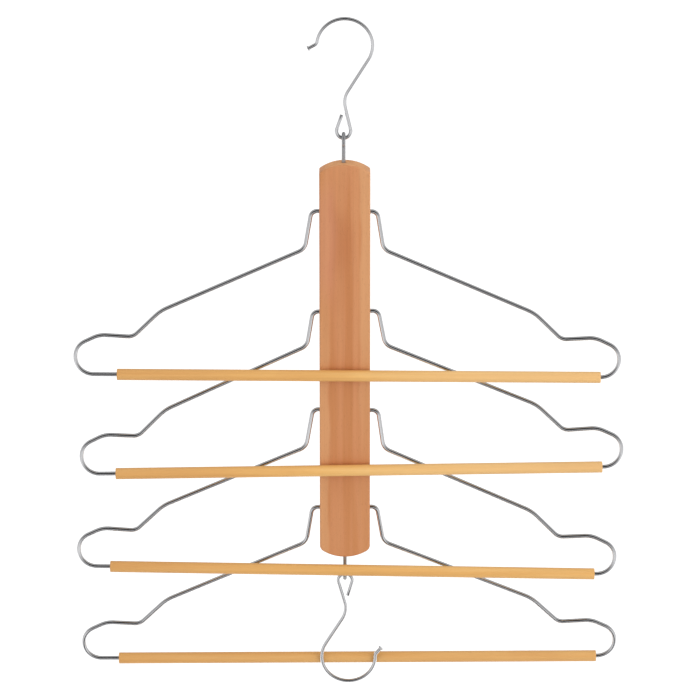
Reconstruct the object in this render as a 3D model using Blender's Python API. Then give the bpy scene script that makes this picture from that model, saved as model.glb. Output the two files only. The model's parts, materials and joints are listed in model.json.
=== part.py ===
"""A tiered trouser hanger for a wardrobe rail. A domed wooden board hangs from a steel S-hook. Four
bent wire frames pass through it, one above the other, and each carries a round wooden bar on its two
ends. A second S-hook hangs from the foot of the board, for one more hanger.

The origin is the rail's seat, under the crown of the upper hook. +X is to the right, the front faces
-Y and +Z is up. Outlines lie in the XZ plane and are written as (x, z) pairs.
"""

import math
from collections import namedtuple

import bmesh
import bpy
from mathutils import Matrix, Vector

# The board
BOARD_WIDTH = 0.040
BOARD_THICKNESS = 0.015
DOME_RISE = 0.0068
DOME_CORNER = 0.0016
BOARD_EDGE = 0.0020
END_TO_PIVOT = 0.0404
TIER_PITCH = 0.083

# A wire frame, from its pivot in the board outwards and down to the bar
FRAME_WIRE = 0.0035
NECK_FROM_BOARD = 0.0059
NECK_SPLAY = 0.0050
NECK_DROP = 0.0305
ARM_REACH = 0.1163
ARM_DROP = 0.0508
NOTCH_REACH = 0.0217
NOTCH_DROP = 0.0212
CREST_REACH = 0.0266
CREST_RISE = 0.0015
LOOP_REACH = 0.0189
LOOP_SLOPE_DROP = 0.0091
LOOP_DEPTH = 0.0231
WIRE_TAIL = 0.045
PIVOT_BEND = 0.0052
SHOULDER_BEND = 0.0099
KNEE_BEND = 0.032
NOTCH_BEND = 0.0099
CREST_BEND = 0.021
LOOP_TOP_BEND = 0.0132
LOOP_FOOT_BEND = 0.0142
RIGHT_ARM_EXTRA = 0.0030

# A trouser bar
BAR_DIAMETER = 0.009
BAR_END_EDGE = 0.0007
BAR_PLAY = 0.0134

# The two S-hooks, on their centre lines
HOOK_WIRE = 0.003
CROWN_RADIUS = 0.0216
LOOP_RADIUS = 0.0056
UPPER_HOOK_SPAN = 0.0693
LOWER_HOOK_SPAN = 0.0665
UPPER_SHANK_LEAN = math.radians(31)
LOWER_SHANK_LEAN = math.radians(34)
LOOP_LEAN = math.radians(13.6)
TAIL_LEAN = math.radians(17.8)
S_BEND = 0.018
LOOP_TAIL = 0.012
TIP_BEND = 0.004
TIP_LENGTH = 0.0048
HEAD_DIAMETER = 0.0044
HEAD_THICKNESS = 0.0012
HEAD_FACE_SHARE = 0.8
UPPER_CROWN_END = math.radians(172)
UPPER_TIP_TURN = math.radians(52)
LOWER_CROWN_END = math.radians(179)
LOWER_TIP_TURN = math.radians(42)
LOWER_HOOK_ROLL = math.radians(2.3)

# The two screw eyes
EYE_WIRE = 0.003
EYE_RING_RADIUS = 0.0044
EYE_NECK_BEND = 0.003
EYE_NECK_ANGLE = math.radians(60)
UPPER_EYE_STANDS = 0.0186
LOWER_EYE_STANDS = 0.0164
UPPER_EYE_SHIFT = -0.0009
EYE_THREAD = 0.020
EYE_POINT = 0.004
EYE_POINT_SHARE = 0.3
EYE_MOST_TURN = math.radians(330)

# Clearances
GAP = 0.0003
HOLE_CLEARANCE = 0.00075
BORE_CLEARANCE = 0.0004
BORE_END_CLEARANCE = 0.004
PILOT_CLEARANCE = 0.0003
PILOT_END_CLEARANCE = 0.002
EYE_END_GAP = 0.0004

# The tiers are bent and hung by hand, so each differs a little. From the top tier down: how far it
# tilts down to the right and lies to the right in its loose hole, how much longer than usual its neck
# and its bar are, and how far the bar stops short of the right bend
Tier = namedtuple("Tier", "tilt shift neck_extra bar_extra bar_short")
TIERS = (
    Tier(math.radians(0.37), -0.0003, 0.0001, -0.0050, 0.0),
    Tier(math.radians(-0.82), 0.0006, -0.0027, -0.0001, 0.0010),
    Tier(math.radians(0.93), 0.0005, 0.0010, 0.0011, 0.0015),
    Tier(math.radians(-0.30), -0.0002, 0.0002, -0.0008, 0.0005),
)

# A bar's lean at rest is searched for from none to the most, to within the step
MOST_LEAN = math.radians(60)
LEAN_STEP = math.radians(0.00001)

# Facets, and the angle between faces from which an edge is sharp
BEND_STEP = math.radians(15)
EYE_STEP = math.radians(1)
WIRE_BEVEL_SEGMENTS = 3
BAR_SIDES = 24
BORE_SIDES = 16
DOME_STEPS = 14
CORNER_STEPS = 3
BOARD_EDGE_STEPS = 3
BAR_END_STEPS = 2
SHARP_ANGLE = math.radians(40)
DOME_CORNER_ANGLE = math.radians(25)

# The most of a straight stretch of wire that its two bends may take up
BENDS_SHARE = 0.98

ALONG_X = Matrix.Rotation(math.radians(90), 4, "Y")

# Looks, as (colour, roughness, metallic)
STEEL = ((0.62, 0.62, 0.63), 0.22, 1.0)
BOARD_WOOD = ((0.58, 0.25, 0.11), 0.45, 0.0)
BAR_WOOD = ((0.79, 0.43, 0.14), 0.50, 0.0)


def arc(centre, radius, start, end):
    """Points round a centre, from one angle to another, both counted from +X towards +Z."""
    steps = max(2, math.ceil(abs(end - start) / BEND_STEP))
    angles = [start + (end - start) * i / steps for i in range(steps + 1)]
    return [centre + radius * Vector((math.cos(a), math.sin(a))) for a in angles]


def bent(corners):
    """The centre line of a wire bent at corners given as (x, z, bend radius). Where two bends would
    meet on a short straight, both are made smaller."""
    points = [Vector(corner[:2]) for corner in corners]
    lengths = [(b - a).length for a, b in zip(points, points[1:])]
    turns = [0.0]
    for before, here, after in zip(points, points[1:], points[2:]):
        turns.append((here - before).angle(after - here))
    turns.append(0.0)
    reaches = [corner[2] * math.tan(turn / 2) for corner, turn in zip(corners, turns)]
    for i, length in enumerate(lengths):
        wanted = reaches[i] + reaches[i + 1]
        if wanted > BENDS_SHARE * length:
            reaches[i] *= BENDS_SHARE * length / wanted
            reaches[i + 1] *= BENDS_SHARE * length / wanted
    line = [points[0]]
    for i in range(1, len(points) - 1):
        back = (points[i - 1] - points[i]).normalized()
        ahead = (points[i + 1] - points[i]).normalized()
        start = points[i] + back * reaches[i]
        end = points[i] + ahead * reaches[i]
        centre = points[i] + (back + ahead).normalized() * (reaches[i] / math.sin(turns[i] / 2))
        first = math.atan2(*(start - centre).yx)
        sweep = math.remainder(math.atan2(*(end - centre).yx) - first, math.tau)
        line += arc(centre, (start - centre).length, first, first + sweep)
    return line + [points[-1]]


def finish(obj, look):
    """Gives the object its own material."""
    colour, roughness, metallic = look
    material = bpy.data.materials.new(obj.name)
    material.use_nodes = True
    shader = material.node_tree.nodes["Principled BSDF"]
    shader.inputs["Base Color"].default_value = (*colour, 1.0)
    shader.inputs["Roughness"].default_value = roughness
    shader.inputs["Metallic"].default_value = metallic
    material.diffuse_color = (*colour, 1.0)
    obj.data.materials.append(material)


def place(obj, parent, location=(0, 0, 0), rotation=(0, 0, 0)):
    obj.parent = parent
    obj.location = location
    obj.rotation_euler = rotation
    bpy.context.scene.collection.objects.link(obj)
    return obj


def empty(name, parent, location, rotation=(0, 0, 0)):
    """An empty that stands on a joint's axis and carries what turns there."""
    obj = bpy.data.objects.new(name, None)
    obj.empty_display_size = 0.01
    return place(obj, parent, location, rotation)


def wire(name, line, diameter, look, widths=()):
    """A round wire along (x, z) points. widths gives (index, share of the diameter) pairs."""
    curve = bpy.data.curves.new(name, "CURVE")
    curve.dimensions = "3D"
    curve.bevel_depth = diameter / 2
    curve.bevel_resolution = WIRE_BEVEL_SEGMENTS
    curve.use_fill_caps = True
    spline = curve.splines.new("POLY")
    spline.points.add(len(line) - 1)
    for point, (x, z) in zip(spline.points, line):
        point.co = (x, 0.0, z, 1.0)
    for index, share in widths:
        spline.points[index].radius = share
    spline.use_smooth = True
    obj = bpy.data.objects.new(name, curve)
    finish(obj, look)
    return obj


def solid(name, mesh_maker, look=None):
    """An object from a bmesh, with its faces pointing out and its round faces smooth."""
    shape = bmesh.new()
    mesh_maker(shape)
    bmesh.ops.recalc_face_normals(shape, faces=shape.faces)
    mesh = bpy.data.meshes.new(name)
    shape.to_mesh(mesh)
    shape.free()
    mesh.shade_smooth()
    mesh.set_sharp_from_angle(angle=SHARP_ANGLE)
    obj = bpy.data.objects.new(name, mesh)
    if look:
        finish(obj, look)
    return obj


def round_hole(name, target, diameter, length, centre, turned):
    """Cuts a round hole of this length, about this centre, in the target."""

    def cutter_shape(shape):
        bmesh.ops.create_cone(
            shape, cap_ends=True, segments=BORE_SIDES, radius1=diameter / 2,
            radius2=diameter / 2, depth=length, matrix=Matrix.Translation(centre) @ turned,
        )

    cutter = solid(name, cutter_shape)
    cutter.hide_render = True
    cutter.display_type = "WIRE"
    place(cutter, target)
    cut = target.modifiers.new(name, "BOOLEAN")
    cut.operation = "DIFFERENCE"
    cut.solver = "EXACT"
    cut.object = cutter


def hook_line(span, shank_lean, crown_end, tip_turn):
    """The S-hook's centre line from its headed tip to the end of its small loop. The crown's centre
    is (0, 0) and the loop's centre lies span below it."""
    crown, loop = Vector((0.0, 0.0)), Vector((0.0, -span))
    outwards = Vector((math.cos(crown_end), math.sin(crown_end)))
    tip_centre = outwards * (CROWN_RADIUS + TIP_BEND)
    tip = arc(tip_centre, TIP_BEND, crown_end + math.pi, crown_end + math.pi - tip_turn)
    heading = crown_end + math.pi / 2 - tip_turn
    straight = Vector((math.cos(heading), math.sin(heading)))
    tip_end = tip[-1] + straight * TIP_LENGTH
    head = [tip_end + straight * along for along in (HEAD_THICKNESS, HEAD_THICKNESS / 2, 0.0)]
    shank_side = Vector((math.cos(shank_lean), -math.sin(shank_lean)))
    loop_side = Vector((math.cos(LOOP_LEAN), math.sin(LOOP_LEAN)))
    # the corner where the shank's two straights cross, each of which touches its own circle
    sides = Matrix((shank_side, loop_side))
    corner = sides.inverted() @ Vector((CROWN_RADIUS, LOOP_RADIUS + loop_side.dot(loop)))
    leave, enter = shank_side * CROWN_RADIUS, loop + loop_side * LOOP_RADIUS
    shank = bent([(*leave, 0.0), (*corner, S_BEND), (*enter, 0.0)])
    round_loop = arc(loop, LOOP_RADIUS, LOOP_LEAN, -math.pi - TAIL_LEAN)
    tail = round_loop[-1] + LOOP_TAIL * Vector((math.sin(TAIL_LEAN), math.cos(TAIL_LEAN)))
    crown_arc = arc(crown, CROWN_RADIUS, crown_end, -shank_lean)
    return head + tip[:0:-1] + crown_arc + shank[1:-1] + round_loop + [tail]


def hook(name, span, shank_lean, crown_end, tip_turn):
    """An S-hook. Its first three points are the flat head on its tip, so they are wider."""
    flare = HEAD_DIAMETER / HOOK_WIRE
    widths = ((0, flare * HEAD_FACE_SHARE), (1, flare), (2, 1.0))
    line = hook_line(span, shank_lean, crown_end, tip_turn)
    return wire(name, line, HOOK_WIRE, STEEL, widths)


def eye_line():
    """A screw eye's centre line, from its point up the shank and round the ring, whose centre is
    (0, 0). The ring's end stops just short of the neck."""
    start = -EYE_NECK_ANGLE
    ring_start = EYE_RING_RADIUS * Vector((math.cos(start), math.sin(start)))
    neck = Vector((0.0, ring_start.y - ring_start.x * math.tan(math.pi / 2 + start)))
    turn = bent([(0.0, neck.y - EYE_NECK_BEND, 0.0), (*neck, EYE_NECK_BEND), (*ring_start, 0.0)])
    reach = math.pi
    while reach < EYE_MOST_TURN and neck_distance(start + reach, turn) > EYE_WIRE + EYE_END_GAP:
        reach += EYE_STEP
    ring = arc(Vector((0.0, 0.0)), EYE_RING_RADIUS, start, start + reach - EYE_STEP)
    return turn[1:-1] + ring


def neck_distance(angle, neck):
    """From the ring's centre line at this angle to the nearest of the neck's points."""
    end = EYE_RING_RADIUS * Vector((math.cos(angle), math.sin(angle)))
    below = neck[0] - Vector((0.0, EYE_WIRE))
    return min((end - point).length for point in (below, *neck[:-2]))


def screw_eye(name, stands):
    """A screw eye whose ring stands this far out of the wood, with a pointed thread below."""
    foot = -stands - EYE_THREAD
    line = [Vector((0.0, foot)), Vector((0.0, foot + EYE_POINT))] + eye_line()
    return wire(name, line, EYE_WIRE, STEEL, ((0, EYE_POINT_SHARE),))


def arm_corners(side, own):
    """One side of a tier's wire frame, from its pivot to the wire's end in the bar, as corners."""
    extra = RIGHT_ARM_EXTRA * side
    steps = (
        (BOARD_WIDTH / 2 + NECK_FROM_BOARD, 0.0, PIVOT_BEND),
        (NECK_SPLAY, -NECK_DROP - own.neck_extra, SHOULDER_BEND),
        (ARM_REACH + extra, -ARM_DROP, KNEE_BEND),
        (NOTCH_REACH, -NOTCH_DROP, NOTCH_BEND),
        (CREST_REACH, CREST_RISE, CREST_BEND),
        (LOOP_REACH, -LOOP_SLOPE_DROP, LOOP_TOP_BEND),
        (0.0, -LOOP_DEPTH, LOOP_FOOT_BEND),
        (-LOOP_FOOT_BEND - WIRE_TAIL, 0.0, 0.0),
    )
    corners, x, z = [], 0.0, 0.0
    for out, up, bend in steps:
        x, z = x + out, z + up
        corners.append((side * x, z, bend))
    return corners


def frame_line(own):
    """A whole wire frame's centre line, from its left end in the bar to its right one."""
    return bent(arm_corners(-1, own)[::-1] + arm_corners(1, own))


def frame_drop(own):
    """From a frame's pivot down to its bar, in the frame's own plane."""
    return -arm_corners(1, own)[-1][1]


def bar_ends(own):
    """Where a bar begins and ends along its straight stretch of wire."""
    left, right = (arm_corners(side, own)[-2][0] - side * LOOP_FOOT_BEND for side in (-1, 1))
    length = right - left - BAR_PLAY + own.bar_extra
    return right - own.bar_short - length, right - own.bar_short


def soften(shape, edges, width, steps):
    bmesh.ops.bevel(shape, geom=edges, offset=width, offset_type="OFFSET", segments=steps,
                    profile=0.5, affect="EDGES", material=-1)


def bar_shape(length):
    """A round bar along X with softened ends."""

    def shape_of(shape):
        bmesh.ops.create_cone(
            shape, cap_ends=True, segments=BAR_SIDES, radius1=BAR_DIAMETER / 2,
            radius2=BAR_DIAMETER / 2, depth=length, matrix=ALONG_X,
        )
        ends = [face for face in shape.faces if len(face.verts) == BAR_SIDES]
        soften(shape, [edge for face in ends for edge in face.edges], BAR_END_EDGE, BAR_END_STEPS)

    return shape_of


def trouser_bar(name, length):
    """A bar with a bore in each end, deep enough for the whole wire end at either bend."""
    bar = solid(name, bar_shape(length), BAR_WOOD)
    bore = FRAME_WIRE + 2 * BORE_CLEARANCE
    depth = WIRE_TAIL + BORE_END_CLEARANCE
    for side, end in ((-1, "left"), (1, "right")):
        round_hole(f"{name}_{end}_bore", bar, bore, 2 * depth, (side * length / 2, 0, 0), ALONG_X)
    return bar


def in_face(edge):
    """Whether this edge of the board lies in its front or its back, so not from one to the other."""
    return abs(edge.verts[0].co.y - edge.verts[1].co.y) < BOARD_THICKNESS / 2


def board_shape(height):
    """The board's domed outline with rounded corners, given its thickness and softened edges."""
    half = BOARD_WIDTH / 2
    radius = (half * half + DOME_RISE * DOME_RISE) / (2 * DOME_RISE)
    span = math.asin(half / radius)

    def dome(top):
        turn = 1 if top else -1
        centre = Vector((0.0, turn * (height / 2 - radius)))
        angles = [turn * (math.pi / 2 - span + 2 * span * i / DOME_STEPS)
                  for i in range(DOME_STEPS + 1)]
        points = [centre + radius * Vector((math.cos(a), math.sin(a))) for a in angles]
        return points if top else points[::-1]

    def shape_of(shape):
        front = [shape.verts.new((x, -BOARD_THICKNESS / 2, z)) for x, z in dome(True) + dome(False)]
        face = shape.faces.new(front)
        moved = bmesh.ops.extrude_face_region(shape, geom=[face])["geom"]
        back = [part for part in moved if isinstance(part, bmesh.types.BMVert)]
        bmesh.ops.translate(shape, verts=back, vec=(0, BOARD_THICKNESS, 0))
        bmesh.ops.recalc_face_normals(shape, faces=shape.faces)
        corners = [edge for edge in shape.edges
                   if edge.calc_face_angle() > DOME_CORNER_ANGLE and not in_face(edge)]
        soften(shape, corners, DOME_CORNER, CORNER_STEPS)
        rims = [edge for edge in shape.edges if in_face(edge)]
        soften(shape, rims, BOARD_EDGE, BOARD_EDGE_STEPS)

    return shape_of


def hanger_board(height, pivots):
    """The board with a hole right through it for each frame and a pilot hole in each dome."""
    board = solid("hanger_board", board_shape(height), BOARD_WOOD)
    for number, pivot in enumerate(pivots, 1):
        round_hole(f"frame_hole_{number}", board, FRAME_WIRE + 2 * HOLE_CLEARANCE,
                   2 * BOARD_WIDTH, (0, 0, pivot), ALONG_X)
    depth = EYE_THREAD + PILOT_END_CLEARANCE
    for end, shift, dome in (("upper", UPPER_EYE_SHIFT, height / 2), ("lower", 0.0, -height / 2)):
        round_hole(f"{end}_pilot_hole", board, EYE_WIRE + 2 * PILOT_CLEARANCE, 2 * depth,
                   (shift, 0, dome), Matrix.Identity(4))
    return board


def hangs_in_middle(board_foot):
    """What a bar can come to rest against, seen from the side: each piece's half thickness, top and
    foot, above and below the board's centre, and the radius of its round rim."""
    ring = board_foot - LOWER_EYE_STANDS
    return (
        (BOARD_THICKNESS / 2, -board_foot, board_foot, 0.0),
        (EYE_WIRE / 2, board_foot, ring, 0.0),
        (0.0, ring, ring, EYE_RING_RADIUS + EYE_WIRE / 2),
        (HOOK_WIRE / 2, ring, ring - LOWER_HOOK_SPAN - CROWN_RADIUS, 0.0),
    )


def rest_lean(pivot, drop, side, board_foot):
    """How far a frame leans forward (side 1) or back (side -1) when its bar has come to rest: the
    least lean at which the bar is clear of all that hangs in the middle."""
    clear, blocked = MOST_LEAN, 0.0
    while clear - blocked > LEAN_STEP:
        lean = (clear + blocked) / 2
        out, height = drop * math.sin(lean), pivot - drop * math.cos(lean)
        nearest = min(
            math.hypot(max(out - half, 0.0), max(height - top, foot - height, 0.0)) - rim
            for half, top, foot, rim in hangs_in_middle(board_foot)
        )
        if nearest < BAR_DIAMETER / 2 + GAP:
            blocked = lean
        else:
            clear = lean
    return side * clear


def tier(number, parent, pivot, lean, own):
    """A wire frame and its bar under an empty on the frame's pivot."""
    hinge = empty(f"tier_{number}_pivot", parent, (own.shift, 0, pivot), (-lean, 0, 0))
    frame = wire(f"wire_frame_{number}", frame_line(own), FRAME_WIRE, STEEL)
    place(frame, hinge, rotation=(0, own.tilt, 0))
    start, end = bar_ends(own)
    bar = trouser_bar(f"trouser_bar_{number}", end - start)
    place(bar, frame, ((start + end) / 2, 0, -frame_drop(own)))


def main():
    for obj in list(bpy.data.objects):
        bpy.data.objects.remove(obj)

    # the rail's seat is the underside of the crown, and what hangs below follows from it. The upper
    # eye isn't quite in the board's middle, so the upper hook's loop hangs to that side too
    crown_centre = -(CROWN_RADIUS - HOOK_WIRE / 2)
    upper_line = (UPPER_HOOK_SPAN, UPPER_SHANK_LEAN, UPPER_CROWN_END, UPPER_TIP_TURN)
    upper_roll = -math.asin(UPPER_EYE_SHIFT / UPPER_HOOK_SPAN)
    place(hook("upper_hook", *upper_line), None, (0, 0, crown_centre), (0, upper_roll, 0))
    upper_hinge = crown_centre - UPPER_HOOK_SPAN - LOOP_RADIUS

    # a ring hangs on its hook's wire, or the hook in the ring, this far from the ring's centre
    ring_offset = EYE_RING_RADIUS - EYE_WIRE / 2 - HOOK_WIRE / 2 - GAP
    height = 2 * END_TO_PIVOT + (len(TIERS) - 1) * TIER_PITCH
    board_centre = -ring_offset - UPPER_EYE_STANDS - height / 2
    board_hinge = empty("board_hinge", None, (UPPER_EYE_SHIFT, 0, upper_hinge))
    pivots = [height / 2 - END_TO_PIVOT - i * TIER_PITCH for i in range(len(TIERS))]
    board = place(hanger_board(height, pivots), board_hinge, (-UPPER_EYE_SHIFT, 0, board_centre))

    quarter = math.radians(90)
    place(screw_eye("upper_screw_eye", UPPER_EYE_STANDS), board,
          (UPPER_EYE_SHIFT, 0, height / 2 + UPPER_EYE_STANDS), (0, 0, quarter))
    lower_ring = -height / 2 - LOWER_EYE_STANDS
    place(screw_eye("lower_screw_eye", LOWER_EYE_STANDS), board,
          (0, 0, lower_ring), (math.pi, 0, quarter))

    # the lowest bar hangs behind the lower hook, and the others in front of the board
    for number, (pivot, own) in enumerate(zip(pivots, TIERS), 1):
        side = -1 if own is TIERS[-1] else 1
        tier(number, board, pivot, rest_lean(pivot, frame_drop(own), side, -height / 2), own)

    hook_hinge = empty("lower_hook_hinge", board, (0, 0, lower_ring - ring_offset))
    lower_line = (LOWER_HOOK_SPAN, LOWER_SHANK_LEAN, LOWER_CROWN_END, LOWER_TIP_TURN)
    crown_below = LOWER_HOOK_SPAN + LOOP_RADIUS
    turned = math.pi - LOWER_HOOK_ROLL
    place(hook("lower_hook", *lower_line), hook_hinge,
          (crown_below * math.sin(LOWER_HOOK_ROLL), 0, -crown_below * math.cos(LOWER_HOOK_ROLL)),
          (0, turned, 0))


main()
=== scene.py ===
"""How the tiered trouser hanger looks. Its wires, bars, board and screw eyes are modelled again here
in fine detail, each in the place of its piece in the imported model, and get their finishes. Sizes are
in metres. Wires are bent in the XZ plane, along (x, z) points, and then hung where they belong.
"""

import json
import math

import bmesh
import bpy
from mathutils import Matrix, Vector

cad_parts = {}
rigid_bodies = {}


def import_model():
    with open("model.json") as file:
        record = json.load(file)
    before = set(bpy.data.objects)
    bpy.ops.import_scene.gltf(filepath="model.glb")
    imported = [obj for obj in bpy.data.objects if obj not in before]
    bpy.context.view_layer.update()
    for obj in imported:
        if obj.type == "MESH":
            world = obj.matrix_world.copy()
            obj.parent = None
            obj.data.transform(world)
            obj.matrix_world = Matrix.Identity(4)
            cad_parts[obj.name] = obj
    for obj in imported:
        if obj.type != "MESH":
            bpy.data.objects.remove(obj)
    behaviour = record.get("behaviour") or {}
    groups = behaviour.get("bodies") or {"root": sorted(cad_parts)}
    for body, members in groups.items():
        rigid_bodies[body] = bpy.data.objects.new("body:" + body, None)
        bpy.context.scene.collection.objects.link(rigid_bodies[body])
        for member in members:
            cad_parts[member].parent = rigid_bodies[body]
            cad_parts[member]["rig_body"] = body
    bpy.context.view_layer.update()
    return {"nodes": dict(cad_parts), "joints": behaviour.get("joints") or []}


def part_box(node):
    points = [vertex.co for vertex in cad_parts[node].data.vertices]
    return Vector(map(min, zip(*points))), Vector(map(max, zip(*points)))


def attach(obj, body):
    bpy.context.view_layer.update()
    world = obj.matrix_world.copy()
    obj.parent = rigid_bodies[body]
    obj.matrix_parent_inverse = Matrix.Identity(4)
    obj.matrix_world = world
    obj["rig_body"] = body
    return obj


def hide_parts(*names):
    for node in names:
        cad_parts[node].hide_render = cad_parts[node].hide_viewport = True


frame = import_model()
JOINTS = {joint["name"]: joint for joint in frame["joints"]}

# The board
BOARD_WIDTH = 0.040
BOARD_THICKNESS = 0.015
BOARD_HEIGHT = 0.3298
DOME_RISE = 0.0068
TOP_CORNER = 0.0018
FOOT_CORNER = 0.0060
BOARD_EDGE = 0.0014
FRAME_HOLE = 0.005
PILOT_HOLE = 0.0031
PILOT_DEPTH = 0.022
HOLE_CHAMFER = 0.0003
LARGE_FACE = 0.001
FLAT_MARGIN = 0.0004

# The tiers, from the top one down
TIERS = (1, 2, 3, 4)

# A wire frame, from its pivot in the board outwards and down to the bar. A tier's neck is longer or
# shorter than usual by what its bar hangs lower or higher than the usual drop
FRAME_WIRE = 0.0035
NECK_FROM_BOARD = 0.0059
NECK_SPLAY = 0.0050
NECK_DROP = 0.0305
ARM_REACH = 0.1163
ARM_DROP = 0.0508
NOTCH_REACH = 0.0217
NOTCH_DROP = 0.0212
CREST_REACH = 0.0266
CREST_RISE = 0.0015
LOOP_REACH = 0.0189
LOOP_SLOPE_DROP = 0.0091
LOOP_DEPTH = 0.0231
WIRE_TAIL = 0.045
PIVOT_BEND = 0.0052
SHOULDER_BEND = 0.0099
KNEE_BEND = 0.032
NOTCH_BEND = 0.0099
CREST_BEND = 0.021
LOOP_TOP_BEND = 0.0132
LOOP_FOOT_BEND = 0.0142
RIGHT_ARM_EXTRA = 0.0030
USUAL_DROP = NECK_DROP + ARM_DROP + NOTCH_DROP - CREST_RISE + LOOP_SLOPE_DROP + LOOP_DEPTH

# A trouser bar
BAR_DIAMETER = 0.009
BAR_END_EDGE = 0.0007
BORE = 0.0043
BORE_DEPTH = 0.049

# The two S-hooks. HEAD_SHAPE gives the head from its face inwards, as (share of its thickness, share
# of its diameter) pairs
HOOK_WIRE = 0.003
CROWN_RADIUS = 0.0216
LOOP_RADIUS = 0.0056
UPPER_HOOK_SPAN = 0.0693
LOWER_HOOK_SPAN = 0.0665
UPPER_SHANK_LEAN = math.radians(31)
LOWER_SHANK_LEAN = math.radians(34)
LOOP_LEAN = math.radians(13.6)
TAIL_LEAN = math.radians(17.8)
S_BEND = 0.018
LOOP_TAIL = 0.012
TIP_BEND = 0.004
TIP_LENGTH = 0.0048
HEAD_DIAMETER = 0.0044
HEAD_THICKNESS = 0.0012
HEAD_SHAPE = ((1.0, 0.88), (0.8, 1.0), (0.35, 1.0), (0.1, 0.9), (0.0, 0.72))
UPPER_CROWN_END = math.radians(172)
UPPER_TIP_TURN = math.radians(52)
LOWER_CROWN_END = math.radians(179)
LOWER_TIP_TURN = math.radians(42)
LOWER_HOOK_ROLL = math.radians(2.3)

# The two screw eyes
EYE_WIRE = 0.003
EYE_RING_RADIUS = 0.0044
EYE_NECK_BEND = 0.003
EYE_NECK_ANGLE = math.radians(60)
EYE_RING_END = math.radians(235)
UPPER_EYE_STANDS = 0.0186
LOWER_EYE_STANDS = 0.0164
UPPER_EYE_SHIFT = -0.0009
EYE_THREAD = 0.020

# How finely round shapes are made, and the edge that a cut leaves on a wire
BEND_STEP = math.radians(5)
STRAIGHT_STEP = 0.010
WIRE_SIDES = 24
TURNED_STEPS = 48
DOME_STEP = math.radians(2)
SHARP_ANGLE = math.radians(35)
BOARD_EDGE_STEPS = 6
CUT_EDGE = 0.0002
CUT_EDGE_STEPS = 2

# The camera: above and a little right of the hanger's middle, as far off as the photographer stood
CAMERA_TARGET = Vector((0.0041, 0.0, -0.2706))
CAMERA_DISTANCE = 4.0
CAMERA_ELEVATION = math.radians(20)
CAMERA_LENS = 260.2
SENSOR_WIDTH = 36.0

# The studio's white walls have soft-edged openings: azimuth from the front, elevation, half width and
# half height in degrees, and how dark each is. The two in front leave a bright stripe between them, a
# little below the horizon, which the upright wires mirror. CEILING is how bright the ceiling is beside
# the walls, and FILL is how strongly the walls light the hanger
OPENINGS = (
    (0, 34, 55, 42, 1.0),
    (0, -44, 50, 24, 1.0),
    (75, 0, 32, 35, 0.4),
    (-75, 0, 32, 35, 0.4),
    (180, 34, 42, 30, 0.7),
)
CEILING = 0.55
FILL = 0.72

# The floor's front edge lies half a metre before the hanger, so the wires mirror the lower opening
FLOOR_RADIUS = 12.0
FLOOR_CENTRE = (0, 11.5, -1.4)

# The lamps: width and height, power, place, and what each one faces
SOFTBOXES = {
    "right_softbox": ((1.5, 1.7), 14, (1.35, -1.25, 0.0), (0, 0, -0.28)),
    "left_softbox": ((1.5, 1.7), 6, (-1.45, -1.35, 0.0), (0, 0, -0.28)),
    "top_softbox": ((1.2, 1.2), 4, (0.1, -0.35, 1.3), (0, 0, -0.1)),
}


# Colours and nodes


def srgb(red, green, blue):
    """A colour given as it shows on a screen, from 0 to 255."""
    shares = [value / 255 for value in (red, green, blue)]
    return [s / 12.92 if s < 0.04045 else ((s + 0.055) / 1.055) ** 2.4 for s in shares] + [1.0]


def add(tree, kind, inputs=None, **settings):
    """Adds a node, with its inputs linked to sockets or set to values, and returns it."""
    node = tree.nodes.new(kind)
    for key, value in settings.items():
        setattr(node, key, value)
    for key, value in (inputs or {}).items():
        if isinstance(value, bpy.types.NodeSocket):
            tree.links.new(value, node.inputs[key])
        else:
            node.inputs[key].default_value = value
    return node


def noise(tree, where, per_metre, detail=3.0, roughness=0.55, warp=0.0):
    """Noise with its own number of features per metre along X, Y and Z."""
    spread = add(tree, "ShaderNodeMapping", {"Vector": where, "Scale": per_metre})
    made = add(tree, "ShaderNodeTexNoise", {
        "Vector": spread.outputs[0], "Scale": 1.0, "Detail": detail, "Roughness": roughness,
        "Distortion": warp,
    })
    return made.outputs["Fac"]


def ramp(tree, factor, *stops):
    """Turns a number into a colour by (place, colour) stops. A plain number stands for a grey."""
    node = add(tree, "ShaderNodeValToRGB", {"Fac": factor})
    points = node.color_ramp.elements
    while len(points) < len(stops):
        points.new(1.0)
    for point, (place, colour) in zip(points, stops):
        point.position = place
        point.color = colour if isinstance(colour, list) else [colour, colour, colour, 1.0]
    return node.outputs["Color"]


def fit(tree, value, low, high, to_low=0.0, to_high=1.0):
    """Turns low..high smoothly into to_low..to_high."""
    return add(tree, "ShaderNodeMapRange", {
        "Value": value, "From Min": low, "From Max": high, "To Min": to_low, "To Max": to_high,
    }, interpolation_type="SMOOTHSTEP").outputs["Result"]


def math_of(tree, operation, first, second):
    """One sum on two numbers. An operation that takes one number leaves the second unused."""
    return add(tree, "ShaderNodeMath", {0: first, 1: second}, operation=operation).outputs[0]


def mixed(tree, factor, below, above, how="MIX"):
    """One colour laid over another by this share, in one of the mixing modes."""
    node = add(tree, "ShaderNodeMix", {0: factor, 6: below, 7: above}, data_type="RGBA",
               blend_type=how)
    return node.outputs[2]


def finish(name):
    """A new material, with its node tree and its shader."""
    material = bpy.data.materials.new(name)
    material.use_nodes = True
    return material, material.node_tree, material.node_tree.nodes["Principled BSDF"]


def bump(tree, shader, height, strength, depth):
    """Roughens the surface by a height, up to this depth in metres."""
    made = add(tree, "ShaderNodeBump", {"Height": height, "Strength": strength, "Distance": depth})
    tree.links.new(made.outputs[0], shader.inputs["Normal"])


# Finishes


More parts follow.
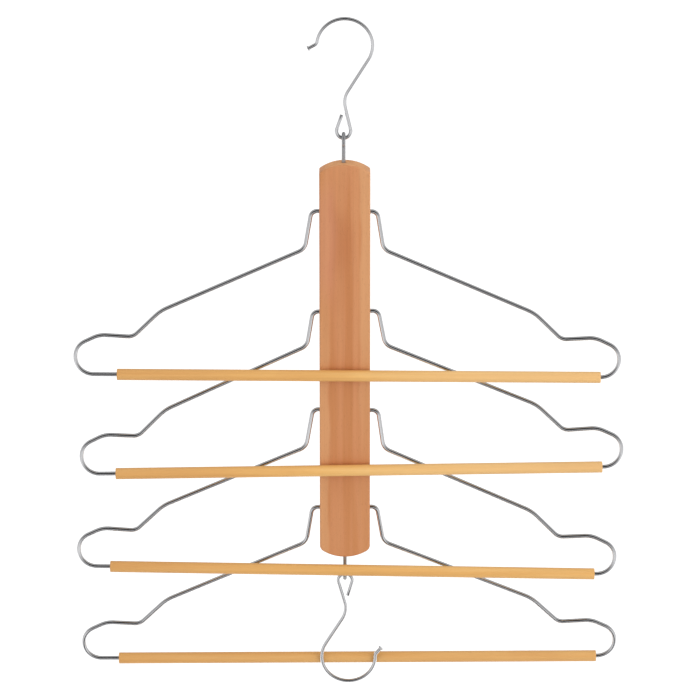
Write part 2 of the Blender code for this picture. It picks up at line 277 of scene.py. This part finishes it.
def board_wood():
    """Reddish brown wood under thin satin lacquer, its grain up the board, with end grain on the two
    domes, painted lighter than the face there to make up for the shade on these faces."""
    material, tree, shader = finish("board_wood")
    coords = add(tree, "ShaderNodeTexCoord")
    where = coords.outputs["Object"]
    side = add(tree, "ShaderNodeSeparateXYZ", {0: where})
    x, z = side.outputs["X"], side.outputs["Z"]

    # the broad bands of the grain, which wander a little on their way up and are calmer near the foot
    calm = fit(tree, z, -0.34, -0.23, 0.5, 1.0)
    bands = math_of(tree, "SUBTRACT", noise(tree, where, (75, 40, 3.2), 2.0, 0.5, 0.2), 0.5)
    bands = math_of(tree, "ADD", math_of(tree, "MULTIPLY", bands, calm), 0.5)
    colour = ramp(tree, bands, (0.36, srgb(195, 125, 73)), (0.45, srgb(202, 132, 79)),
                  (0.50, srgb(208, 139, 90)), (0.62, srgb(213, 147, 97)))
    drift = math_of(tree, "SUBTRACT", noise(tree, where, (0, 0, 14), 2.0), 0.5)
    across = math_of(tree, "ADD", x, math_of(tree, "MULTIPLY", drift, 0.008))

    # paler strips at the two edges, their borders wandering like the grain: painted light that the
    # rounded edges catch from the lamps. A redder heart lies between them, and a rosy patch high on the
    # left
    right_edge_light = math_of(tree, "MULTIPLY", fit(tree, across, 0.0105, 0.0135),
                         fit(tree, z, -0.38, -0.24, 0.2, 0.85))
    left_edge_light = math_of(tree, "MULTIPLY", fit(tree, across, -0.0110, -0.0140),
                        fit(tree, z, -0.20, -0.30, 0.2, 0.75))
    painted_edge_light = math_of(tree, "MAXIMUM", right_edge_light, left_edge_light)
    from_heart = math_of(tree, "ABSOLUTE", math_of(tree, "ADD", across, 0.003), 0.0)
    heart = math_of(tree, "MULTIPLY", fit(tree, from_heart, 0.013, 0.004),
                    fit(tree, noise(tree, where, (12, 12, 9), 1.0), 0.42, 0.60, 0.25, 0.75))
    heart = math_of(tree, "MULTIPLY", heart, fit(tree, z, -0.34, -0.20, 0.2, 1.0))
    heart = math_of(tree, "MULTIPLY", heart, fit(tree, z, -0.105, -0.135, 0.2, 1.0))
    colour = mixed(tree, heart, colour, srgb(190, 116, 68))
    rosy = math_of(tree, "MULTIPLY", fit(tree, across, -0.004, -0.012),
                   math_of(tree, "MULTIPLY", fit(tree, z, -0.120, -0.150, 0.0, 0.6),
                           fit(tree, z, -0.240, -0.200)))
    colour = mixed(tree, rosy, colour, srgb(205, 134, 99))
    # painted light: the paler colour laid along both edges
    colour = mixed(tree, painted_edge_light, colour, srgb(216, 156, 106))

    # streaks, fine fibres, and the short dark flecks of the pores
    streaks = noise(tree, where, (420, 260, 7), 3.0, 0.6)
    colour = mixed(tree, math_of(tree, "MULTIPLY", calm, 0.35), colour,
                   ramp(tree, streaks, (0.34, 0.84), (0.62, 1.0)), "MULTIPLY")
    fibres = noise(tree, where, (1900, 1900, 26), 4.0, 0.65)
    colour = mixed(tree, 0.3, colour, ramp(tree, fibres, (0.3, 0.84), (0.6, 1.0)), "MULTIPLY")
    pores = fit(tree, noise(tree, where, (2600, 2600, 330), 1.0), 0.66, 0.72)
    colour = mixed(tree, math_of(tree, "MULTIPLY", pores, 0.3), colour, srgb(158, 96, 58))

    # end grain where the wood is cut across, painted lighter than the face: painted light that makes up
    # for the shade on the two domes
    facing = add(tree, "ShaderNodeSeparateXYZ", {0: coords.outputs["Normal"]}).outputs["Z"]
    cut = fit(tree, math_of(tree, "ABSOLUTE", facing, 0.0), 0.80, 0.96)
    rings = noise(tree, where, (130, 900, 130), 3.0, 0.6, 0.5)
    end_grain_painted_light = ramp(tree, rings, (0.3, srgb(211, 147, 95)), (0.65, srgb(227, 169, 118)))
    colour = mixed(tree, cut, colour, end_grain_painted_light)

    tree.links.new(colour, shader.inputs["Base Color"])
    lacquer = fit(tree, fibres, 0.3, 0.7, 0.54, 0.44)
    dry = math_of(tree, "MULTIPLY", cut, 0.4)
    tree.links.new(math_of(tree, "ADD", lacquer, dry), shader.inputs["Roughness"])
    bump(tree, shader, fibres, 0.10, 0.0002)
    return material


def bar_wood():
    """Light honey-coloured dowel, its grain along the bar."""
    material, tree, shader = finish("bar_wood")
    where = add(tree, "ShaderNodeTexCoord").outputs["Object"]
    bands = noise(tree, where, (5, 170, 170), 2.0, 0.5, 0.2)
    colour = ramp(tree, bands, (0.30, srgb(225, 167, 93)), (0.5, srgb(235, 180, 103)),
                  (0.68, srgb(241, 192, 119)))
    streaks = noise(tree, where, (14, 700, 700), 3.0, 0.6)
    colour = mixed(tree, 0.4, colour, ramp(tree, streaks, (0.3, 0.82), (0.65, 1.0)), "MULTIPLY")
    fibres = noise(tree, where, (45, 2600, 2600), 4.0, 0.65)
    colour = mixed(tree, 0.3, colour, ramp(tree, fibres, (0.3, 0.84), (0.6, 1.0)), "MULTIPLY")
    clouds = noise(tree, where, (16, 30, 30), 2.0)
    colour = mixed(tree, fit(tree, clouds, 0.52, 0.72, 0.0, 0.3), colour, srgb(213, 154, 88))

    # painted shade: the lowest dowels and the left halves are darker and browner; painted light: the
    # upper right ends are paler, as if the light falls from the upper right
    side = add(tree, "ShaderNodeSeparateXYZ", {0: where})
    painted_shade_low_left = math_of(tree, "MAXIMUM", fit(tree, side.outputs["Z"], -0.42, -0.52, 0.0, 0.4),
                      fit(tree, side.outputs["X"], -0.02, -0.15, 0.0, 0.45))
    colour = mixed(tree, painted_shade_low_left, colour, srgb(206, 146, 84))
    painted_light_upper_right = math_of(tree, "MULTIPLY", fit(tree, side.outputs["X"], -0.02, 0.12),
                    fit(tree, side.outputs["Z"], -0.44, -0.36, 0.0, 0.45))
    colour = mixed(tree, painted_light_upper_right, colour, srgb(238, 199, 142))
    tree.links.new(colour, shader.inputs["Base Color"])
    tree.links.new(fit(tree, fibres, 0.3, 0.7, 0.52, 0.42), shader.inputs["Roughness"])
    bump(tree, shader, fibres, 0.10, 0.0002)
    return material


def plated_wire(name, plating, roughest, metal=1.0):
    """Drawn steel wire under nickel or duller zinc. Its faint draw lines run along the wire."""
    material, tree, shader = finish(name)
    along_wire = add(tree, "ShaderNodeAttribute", attribute_name="straightened").outputs["Vector"]
    draw_lines = noise(tree, along_wire, (3200, 3200, 18), 3.0, 0.6)
    haze = noise(tree, along_wire, (140, 140, 60), 2.0)
    colour = ramp(tree, draw_lines, (0.3, [c * 0.90 for c in plating[:3]] + [1.0]), (0.6, plating))
    tree.links.new(colour, shader.inputs["Base Color"])
    shine = math_of(tree, "ADD", fit(tree, haze, 0.35, 0.65, 0.0, 0.05),
                    fit(tree, draw_lines, 0.3, 0.7, roughest, roughest - 0.05))
    tree.links.new(shine, shader.inputs["Roughness"])
    shader.inputs["Metallic"].default_value = metal
    bump(tree, shader, draw_lines, 0.04, 0.00005)
    return material


# Bending, turning and drilling


def arc(centre, radius, start, end, step=BEND_STEP):
    """Points round a centre, from one angle to another, both counted from +X towards +Z."""
    steps = max(2, math.ceil(abs(end - start) / step))
    angles = [start + (end - start) * i / steps for i in range(steps + 1)]
    return [centre + radius * Vector((math.cos(a), math.sin(a))) for a in angles]


def bent(corners):
    """The centre line of a wire bent at corners given as (x, z, bend radius)."""
    points = [Vector(corner[:2]) for corner in corners]
    line = [points[0]]
    for before, here, after, corner in zip(points, points[1:], points[2:], corners[1:]):
        back, ahead = (before - here).normalized(), (after - here).normalized()
        turn = math.pi - back.angle(ahead)
        reach = corner[2] * math.tan(turn / 2)
        centre = here + (back + ahead).normalized() * (reach / math.sin(turn / 2))
        first, last = here + back * reach - centre, here + ahead * reach - centre
        start = math.atan2(first.y, first.x)
        sweep = math.remainder(math.atan2(last.y, last.x) - start, math.tau)
        line += arc(centre, first.length, start, start + sweep)
    return line + [points[-1]]


def with_steps(line):
    """The same line, with points added on its long straights."""
    stepped = [line[0]]
    for start, end in zip(line, line[1:]):
        steps = max(1, math.ceil((end - start).length / STRAIGHT_STEP))
        stepped += [start.lerp(end, i / steps) for i in range(1, steps + 1)]
    return stepped


def soften(shape, edges, width, steps):
    """Rounds edges over by this width."""
    bmesh.ops.bevel(shape, geom=edges, offset=width, offset_type="OFFSET", segments=steps,
                    profile=0.5, affect="EDGES", material=-1)


def drawn_wire(line, diameter, widths=()):
    """A round wire drawn along (x, z) points, with its cut ends softened. widths gives the share of
    the diameter at the first points. Each vertex keeps where it would be if the wire were straight."""
    shape = bmesh.new()
    straightened = shape.verts.layers.float_vector.new("straightened")
    widths = list(widths) + [1.0] * (len(line) - len(widths))
    before, along, ends = None, 0.0, []
    for i, (point, width) in enumerate(zip(line, widths)):
        heading = (line[min(i + 1, len(line) - 1)] - line[max(i - 1, 0)]).normalized()
        lean = Matrix.Rotation(math.atan2(heading.x, heading.y), 4, "Y")
        place = Matrix.Translation((point.x, 0, point.y)) @ lean @ Matrix.Scale(width, 4)
        if before is None:
            ring = bmesh.ops.create_circle(shape, segments=WIRE_SIDES, radius=diameter / 2,
                                           matrix=place)["verts"]
            edges = list(shape.edges)
            ends.append(edges)
        else:
            made = bmesh.ops.extrude_edge_only(shape, edges=edges)["geom"]
            ring = [part for part in made if isinstance(part, bmesh.types.BMVert)]
            edges = [part for part in made if isinstance(part, bmesh.types.BMEdge)
                     and part.verts[0] in ring and part.verts[1] in ring]
            bmesh.ops.transform(shape, matrix=place @ before.inverted(), verts=ring)
            along += (point - line[i - 1]).length
        to_ring = place.inverted()
        for vert in ring:
            vert[straightened] = to_ring @ vert.co + Vector((0, 0, along))
        before = place
    ends.append(edges)
    for end in ends:
        bmesh.ops.contextual_create(shape, geom=end)
    soften(shape, ends[0] + ends[1], CUT_EDGE, CUT_EDGE_STEPS)
    return shape


def turned(profile):
    """A shape turned on a lathe about X, from (along, radius) points that start and end on the axis."""
    shape = bmesh.new()
    verts = [shape.verts.new((along, 0, radius)) for along, radius in profile]
    edges = [shape.edges.new(pair) for pair in zip(verts, verts[1:])]
    bmesh.ops.spin(shape, geom=verts + edges, cent=(0, 0, 0), axis=(1, 0, 0), angle=math.tau,
                   steps=TURNED_STEPS, use_merge=True)
    bmesh.ops.remove_doubles(shape, verts=shape.verts, dist=0.000001)
    bmesh.ops.recalc_face_normals(shape, faces=shape.faces)
    return shape


def mesh_object(name, shape, place=Matrix.Identity(4)):
    """An object at the origin from a shape that is put in its place."""
    bmesh.ops.recalc_face_normals(shape, faces=shape.faces)
    mesh = bpy.data.meshes.new(name)
    shape.to_mesh(mesh)
    shape.free()
    mesh.transform(place)
    mesh.shade_smooth()
    mesh.set_sharp_from_angle(angle=SHARP_ANGLE)
    made = bpy.data.objects.new(name, mesh)
    bpy.context.scene.collection.objects.link(made)
    return made


def drill_bit(name, diameter, mouth, tip=None):
    """A bit along X for a hole that opens at mouth with a small chamfer. A bit without a tip goes
    right through, and its hole opens the same way at minus mouth."""
    radius, beyond = diameter / 2, 0.002
    opening = [(mouth - HOLE_CHAMFER, radius), (mouth + beyond, radius + HOLE_CHAMFER + beyond),
               (mouth + beyond, 0)]
    inner = [(-along, width) for along, width in opening[::-1]]
    if tip is not None:
        inner = [(tip, 0), (tip, radius)]
    return mesh_object(name, turned(inner + opening))


def drilled(target, bits):
    """Cuts the bits out of the target for good."""
    for bit, place in bits:
        bit.data.transform(place)
        cut = target.modifiers.new(bit.name, "BOOLEAN")
        cut.operation, cut.solver, cut.object = "DIFFERENCE", "EXACT", bit
    graph = bpy.context.evaluated_depsgraph_get()
    mesh = bpy.data.meshes.new_from_object(target.evaluated_get(graph))
    target.modifiers.clear()
    target.data = mesh
    for bit, _ in bits:
        bpy.data.objects.remove(bit)


def hang(piece, material, node):
    """Gives a finished piece its material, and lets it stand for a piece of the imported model."""
    piece.data.materials.clear()
    piece.data.materials.append(material)
    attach(piece, frame["nodes"][node]["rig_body"])
    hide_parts(node)


# The wire frames and their bars


def arm_corners(side, neck_extra):
    """One side of a wire frame, from its pivot to the wire's end in the bar, as corners."""
    extra = RIGHT_ARM_EXTRA * side
    steps = (
        (BOARD_WIDTH / 2 + NECK_FROM_BOARD, 0.0, PIVOT_BEND),
        (NECK_SPLAY, -NECK_DROP - neck_extra, SHOULDER_BEND),
        (ARM_REACH + extra, -ARM_DROP, KNEE_BEND),
        (NOTCH_REACH, -NOTCH_DROP, NOTCH_BEND),
        (CREST_REACH, CREST_RISE, CREST_BEND),
        (LOOP_REACH, -LOOP_SLOPE_DROP, LOOP_TOP_BEND),
        (0.0, -LOOP_DEPTH, LOOP_FOOT_BEND),
        (-LOOP_FOOT_BEND - WIRE_TAIL, 0.0, 0.0),
    )
    corners, x, z = [], 0.0, 0.0
    for out, up, bend in steps:
        x, z = x + out, z + up
        corners.append((side * x, z, bend))
    return corners


def wire_frame(number, material):
    """A tier's wire frame, hung from its pivot so that its ends lie on its bar's axis."""
    pivot = Vector(JOINTS[f"tier_{number}_swing"]["pos_m"])
    bar = JOINTS[f"bar_{number}_turn"]
    across = Vector(bar["axis"]).normalized()
    up = pivot - Vector(bar["pos_m"])
    up -= across * up.dot(across)
    neck_extra = up.length - USUAL_DROP
    up.normalize()
    place = Matrix((across, up.cross(across), up)).transposed().to_4x4()
    line = bent(arm_corners(-1, neck_extra)[::-1] + arm_corners(1, neck_extra))
    shape = drawn_wire(with_steps(line), FRAME_WIRE)
    piece = mesh_object(f"bent_frame_{number}", shape, Matrix.Translation(pivot) @ place)
    hang(piece, material, f"wire_frame_{number}")


def wooden_bar(number, material):
    """A tier's bar with a bore in each end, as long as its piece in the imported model."""
    joint = JOINTS[f"bar_{number}_turn"]
    centre, across = Vector(joint["pos_m"]), Vector(joint["axis"]).normalized()
    node = frame["nodes"][f"trouser_bar_{number}"]
    half = max((vert.co - centre).dot(across) for vert in node.data.vertices)
    right = [(half - BAR_END_EDGE * (1 - math.cos(turn)),
              BAR_DIAMETER / 2 - BAR_END_EDGE * (1 - math.sin(turn)))
             for turn in (math.radians(step) for step in range(90, -1, -15))]
    right += [(half, BORE / 2 + HOLE_CHAMFER), (half - HOLE_CHAMFER, BORE / 2),
              (half - BORE_DEPTH, BORE / 2), (half - BORE_DEPTH, 0)]
    straights = int(half / STRAIGHT_STEP)
    middle = [(half * i / (straights + 1), BAR_DIAMETER / 2) for i in range(-straights, straights + 1)]
    profile = [(-along, radius) for along, radius in right[::-1]] + middle + right
    turn = Vector((1, 0, 0)).rotation_difference(across).to_matrix().to_4x4()
    piece = mesh_object(f"wooden_bar_{number}", turned(profile), Matrix.Translation(centre) @ turn)
    hang(piece, material, f"trouser_bar_{number}")


# The hooks and the screw eyes


def hook_line(span, shank_lean, crown_end, tip_turn):
    """The S-hook's centre line from its headed tip to the end of its small loop. The crown's centre
    is (0, 0) and the loop's centre lies span below it."""
    crown, loop = Vector((0.0, 0.0)), Vector((0.0, -span))
    outwards = Vector((math.cos(crown_end), math.sin(crown_end)))
    tip_centre = outwards * (CROWN_RADIUS + TIP_BEND)
    tip = arc(tip_centre, TIP_BEND, crown_end + math.pi, crown_end + math.pi - tip_turn)
    heading = crown_end + math.pi / 2 - tip_turn
    tip_end = tip[-1] + TIP_LENGTH * Vector((math.cos(heading), math.sin(heading)))
    shank_side = Vector((math.cos(shank_lean), -math.sin(shank_lean)))
    loop_side = Vector((math.cos(LOOP_LEAN), math.sin(LOOP_LEAN)))
    # the corner where the shank's two straights cross, each of which touches its own circle
    sides = Matrix((shank_side, loop_side))
    corner = sides.inverted() @ Vector((CROWN_RADIUS, LOOP_RADIUS + loop_side.dot(loop)))
    leave, enter = shank_side * CROWN_RADIUS, loop + loop_side * LOOP_RADIUS
    shank = bent([(*leave, 0.0), (*corner, S_BEND), (*enter, 0.0)])
    round_loop = arc(loop, LOOP_RADIUS, LOOP_LEAN, -math.pi - TAIL_LEAN)
    tail = round_loop[-1] + LOOP_TAIL * Vector((math.sin(TAIL_LEAN), math.cos(TAIL_LEAN)))
    crown_arc = arc(crown, CROWN_RADIUS, crown_end, -shank_lean)
    return [tip_end] + tip[:0:-1] + crown_arc + shank[1:-1] + round_loop + [tail]


def s_hook(name, node, material, place, line):
    """An S-hook with a flat head pressed on its tip."""
    line = with_steps(line)
    outwards = (line[0] - line[1]).normalized()
    flare = HEAD_DIAMETER / HOOK_WIRE
    head_line = [line[0] + outwards * HEAD_THICKNESS * along for along, _ in HEAD_SHAPE]
    widths = [max(1.0, flare * share) for _, share in HEAD_SHAPE]
    shape = drawn_wire(head_line + line, HOOK_WIRE, widths)
    hang(mesh_object(name, shape, place), material, node)


def eye_line(stands):
    """A screw eye's centre line, from the foot of its shank up and round the ring, whose centre is
    (0, 0). The ring's end stops just short of the neck."""
    start = -EYE_NECK_ANGLE
    ring_start = EYE_RING_RADIUS * Vector((math.cos(start), math.sin(start)))
    neck = Vector((0.0, ring_start.y - ring_start.x * math.tan(math.pi / 2 + start)))
    foot = -stands - EYE_THREAD
    turn = bent([(0.0, foot, 0.0), (*neck, EYE_NECK_BEND), (*ring_start, 0.0)])
    return turn[:-1] + arc(Vector((0.0, 0.0)), EYE_RING_RADIUS, start, EYE_RING_END)


def screw_eye(name, node, material, place, stands):
    """A screw eye whose ring stands this far out of the wood."""
    shape = drawn_wire(with_steps(eye_line(stands)), EYE_WIRE)
    hang(mesh_object(name, shape, place), material, node)


def hooks(material):
    """The hook that hangs on the rail, and the spare one upside down at the board's foot."""
    crown_centre = -(CROWN_RADIUS - HOOK_WIRE / 2)
    roll = Matrix.Rotation(-math.asin(UPPER_EYE_SHIFT / UPPER_HOOK_SPAN), 4, "Y")
    s_hook("rail_hook", "upper_hook", material, Matrix.Translation((0, 0, crown_centre)) @ roll,
           hook_line(UPPER_HOOK_SPAN, UPPER_SHANK_LEAN, UPPER_CROWN_END, UPPER_TIP_TURN))
    hinge = Vector(JOINTS["lower_hook_swing"]["pos_m"])
    below = LOWER_HOOK_SPAN + LOOP_RADIUS
    hung = Matrix.Translation(hinge) @ Matrix.Rotation(-LOWER_HOOK_ROLL, 4, "Y")
    place = hung @ Matrix.Translation((0, 0, -below)) @ Matrix.Rotation(math.pi, 4, "Y")
    s_hook("spare_hook", "lower_hook", material, place,
           hook_line(LOWER_HOOK_SPAN, LOWER_SHANK_LEAN, LOWER_CROWN_END, LOWER_TIP_TURN))


def screw_eyes(material):
    """The two screw eyes, one in each end of the board, seen edge-on from the front."""
    edge_on = Matrix.Rotation(math.radians(90), 4, "Z")
    low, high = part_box("hanger_board")
    top_ring = Matrix.Translation((UPPER_EYE_SHIFT, 0, high.z + UPPER_EYE_STANDS))
    screw_eye("top_eye", "upper_screw_eye", material, top_ring @ edge_on, UPPER_EYE_STANDS)
    upside_down = edge_on @ Matrix.Rotation(math.pi, 4, "X")
    foot_ring = Matrix.Translation((0, 0, low.z - LOWER_EYE_STANDS))
    screw_eye("foot_eye", "lower_screw_eye", material, foot_ring @ upside_down, LOWER_EYE_STANDS)


# The board


def dome(corner):
    """The (x, z) points over one domed end of the board, from its right side to its left, with
    corners of this radius."""
    half = BOARD_WIDTH / 2
    radius = (half * half + DOME_RISE * DOME_RISE) / (2 * DOME_RISE)
    centre = Vector((0.0, BOARD_HEIGHT / 2 - radius))
    aside, above = half - corner, math.sqrt((radius - corner) ** 2 - (half - corner) ** 2)
    lean = math.atan2(above, aside)
    right = arc(centre + Vector((aside, above)), corner, 0.0, lean)
    over = arc(centre, radius, lean, math.pi - lean, DOME_STEP)
    left = arc(centre + Vector((-aside, above)), corner, math.pi - lean, math.pi)
    return right + over[1:-1] + left


def wooden_board(material):
    """The board with its softened edges, its frame holes and its pilot holes."""
    shape = bmesh.new()
    outline = dome(TOP_CORNER) + [-point for point in dome(FOOT_CORNER)]
    verts = [shape.verts.new((point.x, -BOARD_THICKNESS / 2, point.y)) for point in outline]
    edges = [shape.edges.new(pair) for pair in zip(verts, verts[1:] + verts[:1])]
    front = bmesh.ops.contextual_create(shape, geom=edges)["faces"]
    moved = bmesh.ops.extrude_face_region(shape, geom=front)["geom"]
    back = [part for part in moved if isinstance(part, bmesh.types.BMVert)]
    bmesh.ops.translate(shape, verts=back, vec=(0, BOARD_THICKNESS, 0))
    bmesh.ops.recalc_face_normals(shape, faces=shape.faces)
    rims = [edge for edge in shape.edges
            if abs(edge.verts[0].co.y - edge.verts[1].co.y) < BOARD_THICKNESS / 2]
    soften(shape, rims, BOARD_EDGE, BOARD_EDGE_STEPS)

    low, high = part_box("hanger_board")
    middle = (low.z + high.z) / 2
    board = mesh_object("wooden_board", shape, Matrix.Translation((0, 0, middle)))
    bits = []
    for number in TIERS:
        pivot = JOINTS[f"tier_{number}_swing"]["pos_m"]
        bit = drill_bit(f"frame_bit_{number}", FRAME_HOLE, BOARD_WIDTH / 2)
        bits.append((bit, Matrix.Translation((0, 0, pivot[2]))))
    for name, shift, end, turn in (("top", UPPER_EYE_SHIFT, high.z, -90), ("foot", 0.0, low.z, 90)):
        bit = drill_bit(f"{name}_bit", PILOT_HOLE, 0.0, -PILOT_DEPTH)
        upright = Matrix.Rotation(math.radians(turn), 4, "Y")
        bits.append((bit, Matrix.Translation((shift, 0, end)) @ upright))
    drilled(board, bits)

    # a narrow flat margin keeps the board's two large faces flat beside their softened edges
    shape = bmesh.new()
    shape.from_mesh(board.data)
    flat = [face for face in shape.faces if face.calc_area() > LARGE_FACE]
    bmesh.ops.inset_region(shape, faces=flat, thickness=FLAT_MARGIN, use_even_offset=True)
    shape.to_mesh(board.data)
    shape.free()
    board.data.shade_smooth()
    board.data.set_sharp_from_angle(angle=SHARP_ANGLE)
    hang(board, material, "hanger_board")


# The studio


def camera():
    """The photographer's camera, level from side to side and looking a little down."""
    lens = bpy.data.cameras.new("camera")
    lens.lens, lens.sensor_width = CAMERA_LENS, SENSOR_WIDTH
    lens.clip_end = 100.0
    made = bpy.data.objects.new("camera", lens)
    bpy.context.scene.collection.objects.link(made)
    back = Vector((0, -math.cos(CAMERA_ELEVATION), math.sin(CAMERA_ELEVATION)))
    made.location = CAMERA_TARGET + CAMERA_DISTANCE * back
    made.rotation_euler = (math.pi / 2 - CAMERA_ELEVATION, 0, 0)
    bpy.context.scene.camera = made


def softbox(name, size, power, place, target):
    """A big soft lamp. The wires mirror the studio's walls instead of it."""
    lamp = bpy.data.lights.new(name, "AREA")
    lamp.shape, lamp.size, lamp.size_y, lamp.energy = "RECTANGLE", *size, power
    made = bpy.data.objects.new(name, lamp)
    bpy.context.scene.collection.objects.link(made)
    made.location = place
    made.rotation_euler = (Vector(target) - Vector(place)).to_track_quat("-Z", "Y").to_euler()
    made.visible_camera = False
    made.visible_glossy = False


def opening(tree, direction, azimuth, elevation, width, height, depth):
    """How dark an opening in the studio's walls looks in this direction. Azimuth 0 is in front of the
    hanger and 90 is to its right; all are in degrees."""
    faced = add(tree, "ShaderNodeVectorRotate",
                {"Vector": direction, "Rotation": (0, 0, math.radians(-azimuth))},
                rotation_type="EULER_XYZ")
    split = add(tree, "ShaderNodeSeparateXYZ", {0: faced.outputs[0]})
    aside = math_of(tree, "ARCTAN2", split.outputs["X"],
                    math_of(tree, "MULTIPLY", split.outputs["Y"], -1.0))
    level = math_of(tree, "ARCSINE", split.outputs["Z"], 0.0)
    across = math_of(tree, "DIVIDE", aside, math.radians(width))
    above = math_of(tree, "SUBTRACT", level, math.radians(elevation))
    along = math_of(tree, "DIVIDE", above, math.radians(height))
    apart = math_of(tree, "ADD", math_of(tree, "MULTIPLY", across, across),
                    math_of(tree, "MULTIPLY", along, along))
    steep = math_of(tree, "POWER", apart, 3.0)
    fade = math_of(tree, "POWER", math.e, math_of(tree, "MULTIPLY", steep, -1.0))
    return math_of(tree, "MULTIPLY", fade, depth)


def studio_world():
    """White walls all round under a dimmer ceiling, with dark openings in front, high and low, and
    fainter ones at the sides and the back, which the wires mirror. The camera sees plain white."""
    world = bpy.data.worlds.new("studio")
    bpy.context.scene.world = world
    world.use_nodes = True
    tree = world.node_tree
    tree.nodes.clear()
    seen = add(tree, "ShaderNodeLightPath").outputs
    direction = add(tree, "ShaderNodeTexCoord").outputs["Generated"]
    level = add(tree, "ShaderNodeSeparateXYZ", {0: direction}).outputs["Z"]
    bright = fit(tree, level, 0.1, 0.5, 1.0, CEILING)
    for one in OPENINGS:
        left = math_of(tree, "SUBTRACT", 1.0, opening(tree, direction, *one))
        bright = math_of(tree, "MULTIPLY", bright, left)
    bright = math_of(tree, "MAXIMUM", bright, seen["Is Camera Ray"])
    walls = add(tree, "ShaderNodeCombineColor", {0: bright, 1: bright, 2: bright})
    backdrop = add(tree, "ShaderNodeBackground", {"Color": walls.outputs[0], "Strength": 1.0})
    fill = add(tree, "ShaderNodeBackground", {"Color": (1.0, 1.0, 1.0, 1.0), "Strength": FILL})
    sees = math_of(tree, "MAXIMUM", seen["Is Camera Ray"], seen["Is Glossy Ray"])
    sees = math_of(tree, "MAXIMUM", sees, seen["Is Transmission Ray"])
    both = add(tree, "ShaderNodeMixShader", {0: sees, 1: fill.outputs[0], 2: backdrop.outputs[0]})
    add(tree, "ShaderNodeOutputWorld", {"Surface": both.outputs[0]})


def studio_floor():
    """A plain pale floor, well below the hanging hanger. It is white to the camera but for shadows."""
    shape = bmesh.new()
    bmesh.ops.create_circle(shape, cap_ends=True, segments=64, radius=FLOOR_RADIUS,
                            matrix=Matrix.Translation(FLOOR_CENTRE))
    floor = mesh_object("floor", shape)
    material, tree, shader = finish("pale_floor")
    shader.inputs["Base Color"].default_value = srgb(225, 225, 225)
    shader.inputs["Roughness"].default_value = 0.9
    seen = add(tree, "ShaderNodeLightPath").outputs
    glow = add(tree, "ShaderNodeEmission", {"Color": (1.0, 1.0, 1.0, 1.0), "Strength": 0.6})
    both = add(tree, "ShaderNodeAddShader", {0: shader.outputs[0], 1: glow.outputs[0]})
    sees = math_of(tree, "MAXIMUM", seen["Is Camera Ray"], seen["Is Glossy Ray"])
    shown = add(tree, "ShaderNodeMixShader", {0: sees, 1: shader.outputs[0], 2: both.outputs[0]})
    tree.links.new(shown.outputs[0], tree.nodes["Material Output"].inputs["Surface"])
    floor.data.materials.append(material)


def studio():
    """The camera, the walls, the floor and the lamps."""
    camera()
    studio_world()
    studio_floor()
    for name, settings in SOFTBOXES.items():
        softbox(name, *settings)
    bpy.context.scene.view_settings.view_transform = "Standard"


def main():
    studio()
    wooden_board(board_wood())
    frame_steel = plated_wire("frame_steel", srgb(226, 226, 228), 0.16)
    dowel = bar_wood()
    for number in TIERS:
        wire_frame(number, frame_steel)
        wooden_bar(number, dowel)
    hooks(plated_wire("hook_steel", srgb(228, 228, 230), 0.16))
    screw_eyes(plated_wire("eye_steel", srgb(168, 168, 170), 0.36, 0.65))


main()
